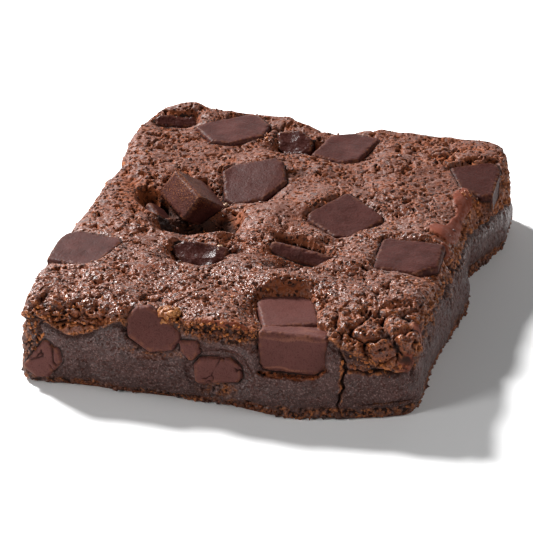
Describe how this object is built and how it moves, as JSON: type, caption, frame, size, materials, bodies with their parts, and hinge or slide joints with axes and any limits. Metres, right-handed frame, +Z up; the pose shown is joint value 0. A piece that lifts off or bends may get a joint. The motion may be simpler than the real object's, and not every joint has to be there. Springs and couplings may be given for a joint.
{
  "type": "chocolate brownie",
  "caption": "Square-cut chocolate brownie with a crumbly baked crust, dense fudge walls and broken chocolate chunks set in it.",
  "frame": {"origin": "middle of the flat base, under the middle of the whole brownie's box", "axes": "+Z up through the crust, -Y toward the longer-seen front cut wall, +X toward the right cut wall; the long side runs along Y"},
  "size_m": [0.0734, 0.087, 0.0187],
  "materials": {
    "brownie_crumb": "baked crumb crust over smooth dark fudge",
    "chocolate_chunk": "broken dark chocolate, satin"
  },
  "bodies": {
    "root": {"brownie_body": "brownie_crumb", "chunk_back_left": "chocolate_chunk", "chunk_back_edge_slab": "chocolate_chunk", "chunk_back_broken": "chocolate_chunk", "chunk_back_middle": "chocolate_chunk", "chunk_tilted_block": "chocolate_chunk", "chunk_under_block": "chocolate_chunk", "chunk_centre_back": "chocolate_chunk", "chunk_centre_right": "chocolate_chunk", "chunk_left_edge": "chocolate_chunk", "chunk_centre_broken": "chocolate_chunk", "chunk_centre_sliver": "chocolate_chunk", "chunk_right_front": "chocolate_chunk", "chunk_right_back": "chocolate_chunk", "chunk_front_top": "chocolate_chunk", "chunk_front_cut": "chocolate_chunk", "chunk_front_left_round": "chocolate_chunk", "chunk_front_flake": "chocolate_chunk", "chunk_front_low": "chocolate_chunk", "chunk_front_left_corner": "chocolate_chunk", "chunk_left_cut": "chocolate_chunk", "chunk_back_cut_wide": "chocolate_chunk", "chunk_back_cut_small": "chocolate_chunk"}
  },
  "joints": []
}
